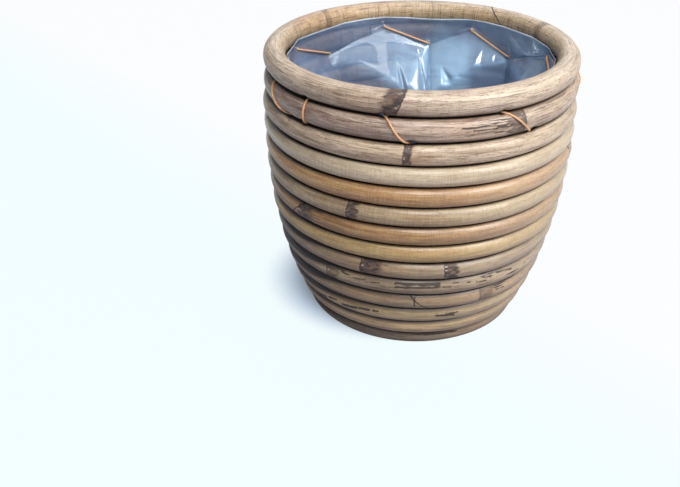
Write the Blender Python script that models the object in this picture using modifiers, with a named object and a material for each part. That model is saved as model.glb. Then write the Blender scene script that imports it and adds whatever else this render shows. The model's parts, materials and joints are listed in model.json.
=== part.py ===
"""Cane hoop planter.

Fourteen hoops of bent cane stand in a stack and are pinned to each other with
headless brads. A plywood board on the lowest hoop is the floor. A clear film bag
lines the inside, and one thread, wound round the second hoop and through the film,
holds the bag's mouth.
"""

import math

import bmesh
import bpy
from mathutils import Matrix, Vector
from mathutils.geometry import interpolate_bezier

for old in list(bpy.data.objects):
    bpy.data.objects.remove(old, do_unlink=True)

# The wall line: the hoops' centres lie on one curve from the rim to the foot.
RIM_RADIUS = 0.0740
FOOT_RADIUS = 0.0533
WALL_DROP = 0.1367
RIM_LEAN = math.radians(-5.6)
FOOT_LEAN = math.radians(28.5)
RIM_HANDLE = 0.0460
FOOT_HANDLE = 0.0415
WALL_SAMPLES = 400

# The cane.
HOOP_COUNT = 14
CANE_DIAMETER = 0.0101
RIM_CANE_DIAMETER = 0.0112
HOOP_GAP = 0.00045
FOOT_FLAT = 0.0005
HOOP_STATIONS = 32
CANE_SIDES_LEVEL = 3
NODE_SWELL = 0.00022
NODE_HALF_WIDTH = 0.0025
NODE_CLEAR_ANGLE = math.radians(4.5)

# Each hoop's growth nodes, and the place and turn of its scarf joint, rim to foot,
# in degrees round the pot. A joint turned 0 slants in plan, one turned 90 slants as
# seen from outside.
GROWTH_NODES = (
    (-96, 25, 140), (-52, 60, 175), (-94, 30, 140), (20, 130), (-3, 95), (-113, 0, 140), (-130, 60),
    (-8, 85), (-109, -77, 110), (-126, 45), (-60, 140), (-4, 20), (5, 150), (-20, 60),
)
SCARF_PLACES = (55, 110, 5, -167, -12, 75, -138, 130, 40, 155, -85, 96, 28, 120)
SCARF_TURNS = (0, 30, 0, 70, 60, 0, 80, 20, 90, 0, 70, 40, 0, 90)
SCARF_SLOPE = math.radians(40)
SCARF_GAP = 0.0005
SCARF_CUTTER_REACH = 0.024

# The brads that pin each hoop to the next, three to a joint.
BRAD_WIDTH = 0.0012
BRAD_LENGTH = 0.0120
BRAD_POINT = 0.0018
BRAD_TIP_WIDTH = 0.0003
BRADS_PER_JOINT = 3
FIRST_BRAD_ANGLE = math.radians(-84)
BRAD_STAGGER = math.radians(14)
SOCKET_CLEARANCE = 0.0003

# The floor board, seated on the foot hoop inside the next one.
FLOOR_RADIUS = 0.0521
FLOOR_THICKNESS = 0.0040
FLOOR_SEAT_GAP = 0.0003
FLOOR_EDGE = 0.0005
FLOOR_SEGMENTS = 48
FLOOR_BRADS = 3
FLOOR_BRAD_RADIUS = 0.0502
FIRST_FLOOR_BRAD_ANGLE = math.radians(-20)

# The film bag. The thread holds it on a zigzag line. Above that its free edge lies against the
# rim at some places, in degrees round the pot, and runs straight from one to the next. Below it
# the bag runs in like a funnel, which evens the zigzag out, until it stands round a square room
# with soft corners, in which a plant's pot goes.
FILM_THICKNESS = 0.0003
FILM_CLEARANCE = 0.0007
FILM_FLOOR_GAP = 0.0003
FILM_EDGE_DROP = 0.0018
FILM_EDGE_LEAN = 0.85
FILM_EDGE_TOUCHES = (
    -174, -157, -132, -101, -80, -60, -40, -22, -2, 14, 30, 48, 58, 68, 97, 108, 119, 130, 164,
)
FILM_COLUMN_STEP = math.radians(9)
FILM_CORNER_RADIUS = 0.0060
FILM_CORNER_POINTS = 3
FUNNEL_SLOPE = 0.92
FUNNEL_BEND = 0.0035
EVEN_OUT = 0.8
EVEN_DEPTH = 0.0090
FUNNEL_SHARES = (0.0, 0.12, 0.35, 0.67)
WALL_LEVELS = (0.110, 0.101, 0.092, 0.078, 0.061, 0.050, 0.035)
ROOM_CORNERS = (-135, -45, 135)
ROOM_SIZES = ((0.015, 0.0340), (0.023, 0.0364), (0.050, 0.0400), (0.061, 0.0448))
ROOM_BEND = 0.0030
ROOM_MARGIN = 0.0010
ROOM_SWING = 0.0050
ROOM_SWING_ANGLE = math.radians(-60)
STITCH_FOLD_SPREAD = 0.40
STITCH_FOLD_RISE = 0.16
STITCH_FOLD_LENGTH = 0.0460

# The lashing: where the thread leaves each gap, in degrees round the pot. It runs
# down the outside of the second hoop, then back up inside the film to the next turn.
THREAD_DIAMETER = 0.0011
THREAD_REST = 0.00028
STITCH_GAP = THREAD_DIAMETER + 2 * THREAD_REST
STITCH_TOPS = (-132.3, -101.4, -60.6, -22.0, 14.0, 65.4, 108.2, 163.9, 203.0)
STITCH_FEET = (-132.8, -91.8, -46.8, -5.0, 44.6, 85.9, 138.6, 185.0, 218.5)
FIRST_STITCH_BOW = math.radians(1.8)
OUTSIDE_POINTS = 13
CHORD_POINTS = 5
STRAND_INSET = 0.0024
CORNER_LIFT = 0.0008
TAIL_LENGTH = 0.0050
TAIL_SWING = math.radians(2.2)
NEEDLE_CLEARANCE = 0.0003
TURN_APART = 12

CANE_FINISHES = {
    "weathered": ((0.45, 0.35, 0.26), 0.46),
    "straw": ((0.55, 0.42, 0.24), 0.42),
    "honey": ((0.46, 0.29, 0.13), 0.42),
    "khaki": ((0.37, 0.27, 0.16), 0.44),
    "umber": ((0.24, 0.17, 0.11), 0.48),
}
HOOP_FINISHES = (
    "weathered", "weathered", "weathered", "straw", "honey", "khaki", "honey",
    "honey", "khaki", "khaki", "khaki", "khaki", "khaki", "umber",
)


def new_collection(name):
    """A named collection in the scene."""
    made = bpy.data.collections.new(name)
    bpy.context.scene.collection.children.link(made)
    return made


PLANTER = new_collection("cane_hoop_planter")
CUTTERS = new_collection("cutters")


def finish(name, colour, roughness, metallic=0.0, alpha=1.0):
    """A Principled material of one colour."""
    material = bpy.data.materials.new(name)
    material.use_nodes = True
    shader = material.node_tree.nodes["Principled BSDF"]
    shader.inputs["Base Color"].default_value = (*colour, 1.0)
    shader.inputs["Roughness"].default_value = roughness
    shader.inputs["Metallic"].default_value = metallic
    shader.inputs["Alpha"].default_value = alpha
    return material


def add_part(name, mesh, material, matrix=Matrix()):
    """A named sub-part of the planter."""
    part = bpy.data.objects.new(name, mesh)
    part.matrix_world = matrix
    if not mesh.materials:
        mesh.materials.append(material)
    PLANTER.objects.link(part)
    return part


def add_cutter(name, mesh):
    """A hidden solid that only cuts others."""
    cutter = bpy.data.objects.new(name, mesh)
    cutter.hide_render = True
    cutter.display_type = "WIRE"
    CUTTERS.objects.link(cutter)
    return cutter


def cut(part, cutter):
    """Take the cutter's space out of a part."""
    boolean = part.modifiers.new("cut_" + cutter.name, "BOOLEAN")
    boolean.operation = "DIFFERENCE"
    boolean.solver = "EXACT"
    boolean.object = cutter


def evaluated_mesh(helper):
    """The mesh of a helper object as its modifiers and bevel leave it; the helper goes."""
    bpy.context.scene.collection.objects.link(helper)
    graph = bpy.context.evaluated_depsgraph_get()
    mesh = bpy.data.meshes.new_from_object(helper.evaluated_get(graph))
    bpy.data.objects.remove(helper)
    shape = bmesh.new()
    shape.from_mesh(mesh)
    bmesh.ops.remove_doubles(shape, verts=shape.verts, dist=1e-6)
    shape.to_mesh(mesh)
    shape.free()
    mesh.shade_smooth()
    return mesh


def tube_mesh(name, points, diameter, level, closed, swells=None):
    """A round tube along points; swells scale its thickness point by point."""
    curve = bpy.data.curves.new(name, "CURVE")
    curve.dimensions = "3D"
    curve.twist_mode = "Z_UP" if closed else "MINIMUM"
    curve.bevel_depth = diameter / 2
    curve.bevel_resolution = level
    curve.use_fill_caps = not closed
    spline = curve.splines.new("POLY")
    spline.points.add(len(points) - 1)
    spline.use_cyclic_u = closed
    for station, place, swell in zip(spline.points, points, swells or [1.0] * len(points)):
        station.co = (*place, 1.0)
        station.radius = swell
    return evaluated_mesh(bpy.data.objects.new(name, curve))


def turned_mesh(name, profile, steps):
    """A profile of (radius, height) points turned round the Z axis."""
    line = bpy.data.meshes.new(name)
    edges = [(i, i + 1) for i in range(len(profile) - 1)]
    line.from_pydata([(radius, 0.0, height) for radius, height in profile], edges, [])
    helper = bpy.data.objects.new(name, line)
    screw = helper.modifiers.new("turn", "SCREW")
    screw.steps = steps
    screw.render_steps = steps
    screw.use_merge_vertices = True
    screw.merge_threshold = 1e-6
    return evaluated_mesh(helper)


def boxes_mesh(name, frames, size):
    """One box of the given size in each frame."""
    shape = bmesh.new()
    for frame in frames:
        bmesh.ops.create_cube(shape, size=1.0, matrix=frame @ Matrix.Diagonal((*size, 1.0)))
    mesh = bpy.data.meshes.new(name)
    shape.to_mesh(mesh)
    shape.free()
    return mesh


def polar(radius, angle, height):
    """A point by its radius, angle round the pot and height."""
    return Vector((radius * math.cos(angle), radius * math.sin(angle), height))


def wall_line():
    """Points (radius, height) down the wall from the rim hoop's centre to the foot hoop's."""
    foot = Vector((FOOT_RADIUS, CANE_DIAMETER / 2 - FOOT_FLAT))
    rim = Vector((RIM_RADIUS, foot.y + WALL_DROP))
    rim_handle = rim - RIM_HANDLE * Vector((math.sin(RIM_LEAN), math.cos(RIM_LEAN)))
    foot_handle = foot + FOOT_HANDLE * Vector((math.sin(FOOT_LEAN), math.cos(FOOT_LEAN)))
    return interpolate_bezier(rim, rim_handle, foot_handle, foot, WALL_SAMPLES)


def hoop_thickness(index):
    """The cane's diameter on one hoop."""
    return RIM_CANE_DIAMETER if index == 0 else CANE_DIAMETER


def hoop_centres():
    """Each hoop's (radius, height), a cane and a gap apart along the wall line."""
    line = wall_line()
    along = [0.0]
    for start, end in zip(line, line[1:]):
        along.append(along[-1] + (end - start).length)
    steps = [0.0]
    for i in range(1, HOOP_COUNT):
        gap = STITCH_GAP if i <= 2 else HOOP_GAP
        steps.append(steps[-1] + (hoop_thickness(i - 1) + hoop_thickness(i)) / 2 + gap)
    stretch = along[-1] / steps[-1]
    centres = []
    for step in steps:
        place = step * stretch
        after = next((k for k, run in enumerate(along) if run >= place), len(along) - 1)
        after = max(after, 1)
        part = (place - along[after - 1]) / (along[after] - along[after - 1])
        centres.append(line[after - 1].lerp(line[after], part))
    print("hoop pitch is stretched by", round(stretch, 4))
    return centres


CENTRES = hoop_centres()


def hoop_stations(index):
    """Angles round one hoop, even but for three close together at each growth node, with
    the cane's swelling at each."""
    half_width = NODE_HALF_WIDTH / CENTRES[index].x
    nodes = [math.radians(node) for node in GROWTH_NODES[index]]
    stations = []
    for k in range(HOOP_STATIONS):
        angle = math.tau * k / HOOP_STATIONS
        if all(abs(math.remainder(angle - node, math.tau)) > NODE_CLEAR_ANGLE for node in nodes):
            stations.append((angle, 1.0))
    for node in nodes:
        middle = node % math.tau
        swell = 1.0 + 2 * NODE_SWELL / hoop_thickness(index)
        stations += [(middle - half_width, 1.0), (middle, swell), (middle + half_width, 1.0)]
    return sorted(stations)


def scarf_cutter(index):
    """The thin slanted slab that parts a hoop's two ends."""
    angle = math.radians(SCARF_PLACES[index])
    centre = CENTRES[index]
    frame = Matrix.Translation(polar(centre.x, angle, centre.y)) @ Matrix.Rotation(angle, 4, "Z")
    frame @= Matrix.Rotation(math.radians(SCARF_TURNS[index]), 4, "Y") @ Matrix.Rotation(SCARF_SLOPE, 4, "Z")
    size = (SCARF_GAP, SCARF_CUTTER_REACH, SCARF_CUTTER_REACH)
    return add_cutter("scarf_%02d" % (index + 1), boxes_mesh("scarf", [frame], size))


def make_hoop(index):
    """One hoop of cane with its growth nodes and its scarf joint."""
    name = "hoop_%02d" % (index + 1)
    centre = CENTRES[index]
    stations = hoop_stations(index)
    points = [polar(centre.x, angle, 0.0) for angle, swell in stations]
    swells = [swell for angle, swell in stations]
    mesh = tube_mesh(name, points, hoop_thickness(index), CANE_SIDES_LEVEL, True, swells)
    colour, roughness = CANE_FINISHES[HOOP_FINISHES[index]]
    hoop = add_part(name, mesh, finish(name, colour, roughness), Matrix.Translation((0, 0, centre.y)))
    cut(hoop, scarf_cutter(index))
    return hoop


def joint_frames(upper):
    """Where the brads between a hoop and the next one go: Z points from the lower to the upper."""
    top, bottom = CENTRES[upper], CENTRES[upper + 1]
    lift = (top - bottom).normalized()
    seat_top = top - lift * hoop_thickness(upper) / 2
    seat_bottom = bottom + lift * hoop_thickness(upper + 1) / 2
    middle = (seat_top + seat_bottom) / 2
    frames = []
    for k in range(BRADS_PER_JOINT):
        angle = FIRST_BRAD_ANGLE + upper * BRAD_STAGGER + math.tau * k / BRADS_PER_JOINT
        along = Vector((-math.sin(angle), math.cos(angle), 0.0))
        up = polar(lift.x, angle, lift.y)
        across = up.cross(along)
        turn = Matrix((along, across, up)).transposed().to_4x4()
        frames.append(Matrix.Translation(polar(middle.x, angle, middle.y)) @ turn)
    return frames


def brad_mesh():
    """A headless square brad with a drawn point, centred on its length."""
    half = BRAD_LENGTH / 2
    corner = BRAD_WIDTH / math.sqrt(2)
    tip = BRAD_TIP_WIDTH / math.sqrt(2)
    profile = [(0, half), (corner, half), (corner, BRAD_POINT - half), (tip, -half), (0, -half)]
    mesh = turned_mesh("brad", profile, 4)
    mesh.shade_flat()
    return mesh


def pin_hoops(hoops, brad, steel):
    """Brads in blind sockets between every hoop and the next."""
    width = BRAD_WIDTH + 2 * SOCKET_CLEARANCE
    socket = (width, width, BRAD_LENGTH + 2 * SOCKET_CLEARANCE)
    quarter = Matrix.Rotation(math.pi / 4, 4, "Z")
    for i in range(HOOP_COUNT - 1):
        frames = joint_frames(i)
        sockets = add_cutter("sockets_%02d" % (i + 1), boxes_mesh("sockets", frames, socket))
        cut(hoops[i], sockets)
        cut(hoops[i + 1], sockets)
        for k, frame in enumerate(frames):
            add_part("brad_%02d_%d" % (i + 1, k + 1), brad, steel, frame @ quarter)


def make_floor(hoops, brad, steel):
    """The plywood board on the foot hoop, with brads down into the cane. Gives its top's height."""
    seat = CENTRES[-1].y + CANE_DIAMETER / 2 + FLOOR_SEAT_GAP
    top = seat + FLOOR_THICKNESS
    shape = bmesh.new()
    bmesh.ops.create_cone(
        shape, cap_ends=True, segments=FLOOR_SEGMENTS,
        radius1=FLOOR_RADIUS, radius2=FLOOR_RADIUS, depth=FLOOR_THICKNESS,
    )
    mesh = bpy.data.meshes.new("floor_board")
    shape.to_mesh(mesh)
    shape.free()
    place = Matrix.Translation((0, 0, (seat + top) / 2))
    board = add_part("floor_board", mesh, finish("plywood", (0.55, 0.40, 0.24), 0.6), place)
    edge = board.modifiers.new("eased_edges", "BEVEL")
    edge.width = FLOOR_EDGE
    edge.segments = 1

    middle = top - SOCKET_CLEARANCE - BRAD_LENGTH / 2
    width = BRAD_WIDTH + 2 * SOCKET_CLEARANCE
    frames = []
    for k in range(FLOOR_BRADS):
        angle = FIRST_FLOOR_BRAD_ANGLE + math.tau * k / FLOOR_BRADS
        frame = Matrix.Translation(polar(FLOOR_BRAD_RADIUS, angle, middle)) @ Matrix.Rotation(angle, 4, "Z")
        frames.append(frame)
        add_part("floor_brad_%d" % (k + 1), brad, steel, frame @ Matrix.Rotation(math.pi / 4, 4, "Z"))
    socket = (width, width, BRAD_LENGTH + 4 * SOCKET_CLEARANCE)
    sockets = add_cutter("floor_sockets", boxes_mesh("floor_sockets", frames, socket))
    cut(board, sockets)
    cut(hoops[-1], sockets)
    return top


def flatten_foot(hoop):
    """Sand the foot hoop flat so that the planter stands."""
    depth = CANE_DIAMETER
    frame = Matrix.Translation((0, 0, -depth / 2))
    span = 2 * (FOOT_RADIUS + CANE_DIAMETER)
    cut(hoop, add_cutter("foot_plane", boxes_mesh("foot_plane", [frame], (span, span, depth))))


def thread_levels():
    """The heights at which the thread goes in, above and below the second hoop."""
    reach = (CANE_DIAMETER + THREAD_DIAMETER) / 2 + THREAD_REST
    return CENTRES[1].y + reach, CENTRES[1].y - reach


def step_between(table, value):
    """The second number of a rising table of pairs, in straight steps, for a value of the first."""
    for (low, low_result), (high, high_result) in zip(table, table[1:]):
        if value <= high:
            share = max((value - low) / (high - low), 0.0)
            return low_result + (high_result - low_result) * share
    return table[-1][1]


def once_round(places):
    """Places (angle in degrees, height) in order round the pot, in radians, with one more at each end."""
    places = sorted((math.radians(angle) % math.tau, height) for angle, height in places)
    first, last = places[0], places[-1]
    return [(last[0] - math.tau, last[1])] + places + [(first[0] + math.tau, first[1])]


def film_holds():
    """The angles and heights at which the thread goes through the film."""
    above, below = thread_levels()
    tops = [(angle, above) for angle in STITCH_TOPS]
    feet = [(angle, below) for angle in STITCH_FEET[1:]]
    return once_round(tops + feet)


def film_touches():
    """The angles and height at which the film's edge lies against the rim."""
    return once_round([(angle, CENTRES[0].y - FILM_EDGE_DROP) for angle in FILM_EDGE_TOUCHES])


def hold_line(angle, holds):
    """The height of the straight line between two holds, and how far it runs inside the circle as
    a share of the radius."""
    for (start, start_height), (end, end_height) in zip(holds, holds[1:]):
        if start <= angle < end:
            half = (end - start) / 2
            from_middle = angle - start - half
            height = start_height + (end_height - start_height) * (0.5 + from_middle / (2 * half))
            return height, 1 - math.cos(half) / math.cos(from_middle)


def film_columns(holds):
    """The angles of the bag's columns: each hold, even steps between the holds, and the corners of
    the square room."""
    columns = [math.radians(angle) % math.tau for angle in ROOM_CORNERS]
    for (start, _), (end, _) in zip(holds[1:], holds[2:]):
        steps = max(round((end - start) / FILM_COLUMN_STEP), 1)
        columns += [(start + (end - start) * k / steps) % math.tau for k in range(steps)]
    return sorted(columns)


def wall_inside():
    """The film's (height, radius) where it lies along the hoops' inner faces, from the foot up."""
    line = []
    for i in range(1, HOOP_COUNT - 1):
        down = (CENTRES[i + 1] - CENTRES[i - 1]).normalized()
        inward = Vector((down.y, -down.x))
        place = CENTRES[i] + inward * (CANE_DIAMETER / 2 + FILM_CLEARANCE)
        line.append((place.y, place.x))
    return sorted(line)


def room_radius(angle, height):
    """How far out the bag stays round the square room for a plant's pot. It hangs a little to one side."""
    half = step_between(ROOM_SIZES, height)
    face = abs(math.cos(2 * angle)) ** 0.8
    swing = ROOM_SWING * (1 + math.cos(angle - ROOM_SWING_ANGLE))
    return half * (math.sqrt(2) - (math.sqrt(2) - 1) * face) + ROOM_MARGIN + swing


def stitch_fold(angle, depth):
    """How far the folds below the stitches stand back towards the wall."""
    push = 0.0
    fade = max(min((STITCH_FOLD_LENGTH - depth) / (0.45 * STITCH_FOLD_LENGTH), 1.0), 0.0)
    for foot in STITCH_FEET[1:]:
        across = abs(math.remainder(angle - math.radians(foot), math.tau)) * CENTRES[1].x
        tent = max(1 - across / (STITCH_FOLD_SPREAD * depth + 0.0002), 0.0)
        push += STITCH_FOLD_RISE * depth * tent * fade
    return push


def film_radius(angle, height, hold, inside, wall):
    """The bag's radius below its hold: the funnel, and where that ends, the room."""
    depth = hold - height
    along_wall = step_between(wall, height)
    held = along_wall - CENTRES[1].x * inside
    run = depth + EVEN_OUT * (CENTRES[1].y - hold) * (1 - math.exp(-depth / EVEN_DEPTH))
    funnel = FUNNEL_SLOPE * (math.hypot(run, FUNNEL_BEND) - FUNNEL_BEND)
    free = held - funnel + stitch_fold(angle, depth)
    room = room_radius(angle, height)
    radius = (free + room + math.hypot(free - room, ROOM_BEND)) / 2
    return min(radius, along_wall - CENTRES[1].x * inside * math.exp(-depth / FILM_CORNER_RADIUS))


def film_column(angle, base, holds, touches, wall):
    """One column of the bag, from its edge to the edge of its floor, as (radius, height) points."""
    hold, inside = hold_line(angle, holds)
    edge_height, lean = hold_line(angle, touches)
    edge = CENTRES[0].x * (1 - FILM_EDGE_LEAN * lean) - RIM_CANE_DIAMETER / 2 - FILM_CLEARANCE
    points = [(edge, edge_height)]
    heights = [hold + (WALL_LEVELS[0] - hold) * share for share in FUNNEL_SHARES]
    heights += list(WALL_LEVELS) + [base + FILM_CORNER_RADIUS]
    points += [(film_radius(angle, height, hold, inside, wall), height) for height in heights]
    reach = points[-1][0]
    for k in range(1, FILM_CORNER_POINTS):
        turn = math.pi / 2 * k / (FILM_CORNER_POINTS - 1)
        radius = reach - FILM_CORNER_RADIUS * (1 - math.cos(turn))
        points.append((radius, base + FILM_CORNER_RADIUS * (1 - math.sin(turn))))
    return points


def film_mesh(base):
    """The bag's outer side: columns of points joined to each other and to the middle of its floor."""
    holds, touches, wall = film_holds(), film_touches(), wall_inside()
    columns = film_columns(holds)
    points, faces = [], []
    for angle in columns:
        line = film_column(angle, base, holds, touches, wall)
        points += [polar(radius, angle, height) for radius, height in line]
    rows = len(points) // len(columns)
    points.append(Vector((0.0, 0.0, base)))
    for k in range(len(columns)):
        here, after = k * rows, (k + 1) % len(columns) * rows
        faces += [(here + i, here + i + 1, after + i + 1, after + i) for i in range(rows - 1)]
        faces.append((here + rows - 1, len(points) - 1, after + rows - 1))
    mesh = bpy.data.meshes.new("film_liner")
    mesh.from_pydata(points, [], faces)
    print("film columns", len(columns), "rows", rows)
    return mesh


def make_film(floor_top, needle_holes):
    """The clear film bag, pierced where the thread goes through it."""
    mesh = film_mesh(floor_top + FILM_FLOOR_GAP)
    film = add_part("film_liner", mesh, finish("clear_film", (0.62, 0.70, 0.80), 0.15, alpha=0.4))
    wall = film.modifiers.new("film_wall", "SOLIDIFY")
    wall.thickness = FILM_THICKNESS
    wall.offset = -1.0
    film.modifiers.new("flat_facets", "TRIANGULATE")
    cut(film, needle_holes)
    return film


def stitch_outside(top, foot, bow):
    """The strand that goes down round the outside of the second hoop, from gap to gap."""
    hoop = CENTRES[1]
    reach = (CANE_DIAMETER + THREAD_DIAMETER) / 2 + THREAD_REST
    points = []
    for k in range(OUTSIDE_POINTS):
        part = k / (OUTSIDE_POINTS - 1)
        turn = math.pi / 2 - math.pi * part
        angle = top + (foot - top) * part + bow * math.sin(math.pi * part)
        points.append(polar(hoop.x + reach * math.cos(turn), angle, hoop.y + reach * math.sin(turn)))
    return points


def stitch_entry(angle, side):
    """The strand's way in through a gap and the film: side is -1 below the hoop and 1 above it.
    The last point is the corner where it turns along the film."""
    hoop = CENTRES[1]
    inner = CANE_DIAMETER / 2 + STRAND_INSET
    above, below = thread_levels()
    level = above if side > 0 else below
    corner = polar(hoop.x - inner, angle, level - side * CORNER_LIFT)
    return [polar(hoop.x - inner * 0.40, angle, level), polar(hoop.x - inner * 0.76, angle, level), corner]


def stitch_inside(foot, next_top):
    """The straight strand inside the film, from one stitch's foot up to the next one's top."""
    entry = stitch_entry(foot, -1)
    leave = stitch_entry(next_top, 1)[::-1]
    chord = [entry[-1].lerp(leave[0], k / (CHORD_POINTS + 1)) for k in range(1, CHORD_POINTS + 1)]
    return entry + chord + leave


def lashing_route():
    """The thread's whole way round the second hoop, with a short tail inside at each end."""
    tops = [math.radians(angle) for angle in STITCH_TOPS]
    feet = [math.radians(angle) for angle in STITCH_FEET]
    drop = Vector((0, 0, TAIL_LENGTH))
    start = stitch_entry(tops[0], 1)[::-1]
    route = [start[0] - drop, start[0] - drop / 2] + start
    for k, (top, foot) in enumerate(zip(tops, feet)):
        route += stitch_outside(top, foot, FIRST_STITCH_BOW if k == 0 else 0.0)
        if k + 1 < len(tops):
            route += stitch_inside(foot, tops[k + 1])
    end = stitch_entry(feet[-1], -1)
    swing = Matrix.Rotation(TAIL_SWING, 3, "Z")
    return route + end + [swing @ (end[-1] + drop / 2), swing @ swing @ (end[-1] + drop)]


def least_gap(route):
    """The least clear gap between the thread and itself, over points at least half a turn apart."""
    least = math.inf
    for i, here in enumerate(route):
        for there in route[i + TURN_APART:]:
            least = min(least, (here - there).length - THREAD_DIAMETER)
    return least


def make_lashing():
    """The wound thread, and the cutter for the holes that its needle left in the film."""
    route = lashing_route()
    print("thread turns", len(STITCH_TOPS), "least gap to itself", round(least_gap(route) * 1000, 2), "mm")
    mesh = tube_mesh("lashing_thread", route, THREAD_DIAMETER, 1, False)
    add_part("lashing_thread", mesh, finish("thread", (0.62, 0.27, 0.10), 0.6))
    hole = THREAD_DIAMETER + 2 * NEEDLE_CLEARANCE
    return add_cutter("needle_holes", tube_mesh("needle_holes", route, hole, 1, False))


def main():
    hoops = [make_hoop(i) for i in range(HOOP_COUNT)]
    flatten_foot(hoops[-1])
    brad = brad_mesh()
    steel = finish("brad_steel", (0.35, 0.34, 0.33), 0.4, metallic=1.0)
    brad.materials.append(steel)
    pin_hoops(hoops, brad, steel)
    floor_top = make_floor(hoops, brad, steel)
    needle_holes = make_lashing()
    make_film(floor_top, needle_holes)
    height = CENTRES[0].y + RIM_CANE_DIAMETER / 2
    print("planter height", round(height * 1000, 1), "mm, floor top", round(floor_top * 1000, 1), "mm")


main()
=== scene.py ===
# %% [markdown]
# # A planter of stacked cane hoops
# This lesson dresses a plain model of a small planter. Fourteen hoops of bent cane stand in a stack, a
# clear film bag lines the inside, and a copper-coloured thread laces the bag to the second hoop. The plain
# model is loaded as a fixed frame, and every new surface is worked out with numpy from the places it gives.

import json
import math
from types import SimpleNamespace
from typing import NamedTuple

import bpy
import numpy as np
from mathutils import Matrix, Vector


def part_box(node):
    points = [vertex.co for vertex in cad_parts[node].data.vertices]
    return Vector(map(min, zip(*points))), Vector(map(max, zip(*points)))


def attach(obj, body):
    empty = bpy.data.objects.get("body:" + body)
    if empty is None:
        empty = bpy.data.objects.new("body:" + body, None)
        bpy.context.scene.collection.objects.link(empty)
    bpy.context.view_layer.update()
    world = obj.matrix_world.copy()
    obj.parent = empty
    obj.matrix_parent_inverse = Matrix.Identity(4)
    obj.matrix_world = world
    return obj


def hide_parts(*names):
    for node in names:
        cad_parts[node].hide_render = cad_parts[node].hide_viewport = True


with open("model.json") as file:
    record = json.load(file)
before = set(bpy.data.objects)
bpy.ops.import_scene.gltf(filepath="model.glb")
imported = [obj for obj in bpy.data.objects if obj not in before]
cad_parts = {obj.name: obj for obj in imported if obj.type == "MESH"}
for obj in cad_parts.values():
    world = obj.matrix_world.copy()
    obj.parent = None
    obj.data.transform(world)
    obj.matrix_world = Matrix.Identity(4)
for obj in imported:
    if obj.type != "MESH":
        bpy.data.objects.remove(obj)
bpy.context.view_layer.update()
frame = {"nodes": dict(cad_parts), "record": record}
MM = 0.001
print("frame nodes:", len(frame["nodes"]))

# %% [markdown]
# ## Where the hoops are
# Each hoop of the frame is a ring, so the height of its box is the cane's thickness and the width of its
# box gives the radius of the ring's middle line. The foot hoop is sanded flat below, and that much is added
# back. Reading the boxes, instead of typing numbers, keeps the finished hoops on the frame if the frame
# ever changes.

# %% Measure the hoops
FOOT_FLAT = 0.5 * MM
HOOP_NAMES = [f"hoop_{number:02d}" for number in range(1, 15)]


def measure_hoop(name):
    """Middle radius, middle height and cane radius of one hoop of the frame."""
    low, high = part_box(name)
    sanded_off = FOOT_FLAT if name == HOOP_NAMES[-1] else 0.0
    cane = (high.z - low.z + sanded_off) / 2
    return (high.x - low.x + high.y - low.y) / 4 - cane, high.z - cane, cane


HOOP_SIZES = [measure_hoop(name) for name in HOOP_NAMES]
HOOP_RADII, HOOP_HEIGHTS, HOOP_CANES = np.array(HOOP_SIZES).T
print("rim hoop, mm:", np.round(np.array(HOOP_SIZES[0]) / MM, 2))
print("foot hoop, mm:", np.round(np.array(HOOP_SIZES[-1]) / MM, 2))

# %% [markdown]
# ## The camera
# The photograph looks down on the planter from the front, with the planter up and to the right of the
# middle. No lens shift is needed: the camera stands in front of the planter's axis and is turned a little
# to the left, and that puts the planter off centre. The values come from matching the hoops' edges by fit.

# %% Make the camera
LENS = 48.0
CAMERA_BACK = 450.0 * MM
CAMERA_ABOVE_RIM = 143.7 * MM
CAMERA_DOWN = math.radians(29.80)
CAMERA_TURN = math.radians(-5.25)
CAMERA_TILT = math.radians(-0.22)


def add_object(name, data):
    """A new object in the scene, from its data."""
    made = bpy.data.objects.new(name, data)
    bpy.context.scene.collection.objects.link(made)
    return made


def make_camera():
    """A camera that is turned to the side, dips below the horizon and is tilted about its own axis."""
    camera = add_object("camera", bpy.data.cameras.new("camera"))
    camera.data.lens = LENS
    turn = Matrix.Rotation(-CAMERA_TURN, 4, "Z") @ Matrix.Rotation(math.pi / 2 - CAMERA_DOWN, 4, "X")
    place = Matrix.Translation((0.0, -CAMERA_BACK, HOOP_HEIGHTS[0] + CAMERA_ABOVE_RIM))
    camera.matrix_world = place @ turn @ Matrix.Rotation(CAMERA_TILT, 4, "Z")
    bpy.context.scene.camera = camera
    return camera


camera = make_camera()
print("camera at, mm:", [round(value / MM, 1) for value in camera.matrix_world.translation])

# %% [markdown]
# ## Shader maths as arithmetic
# Blender's materials are graphs of nodes. Adding the nodes one by one hides the idea, so this small class
# wraps one socket and lets Python's operators add the Math nodes. All else goes through the one method
# `node`, which sets a node's options first and then its sockets.

# %% The socket wrapper


def plug(socket, value):
    """Link a wire into a socket, or set a plain value on it. A colour is made opaque."""
    if isinstance(value, Wire):
        value.tree.links.new(value.socket, socket)
    else:
        socket.default_value = (*value, 1.0) if socket.type == "RGBA" else value


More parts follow.
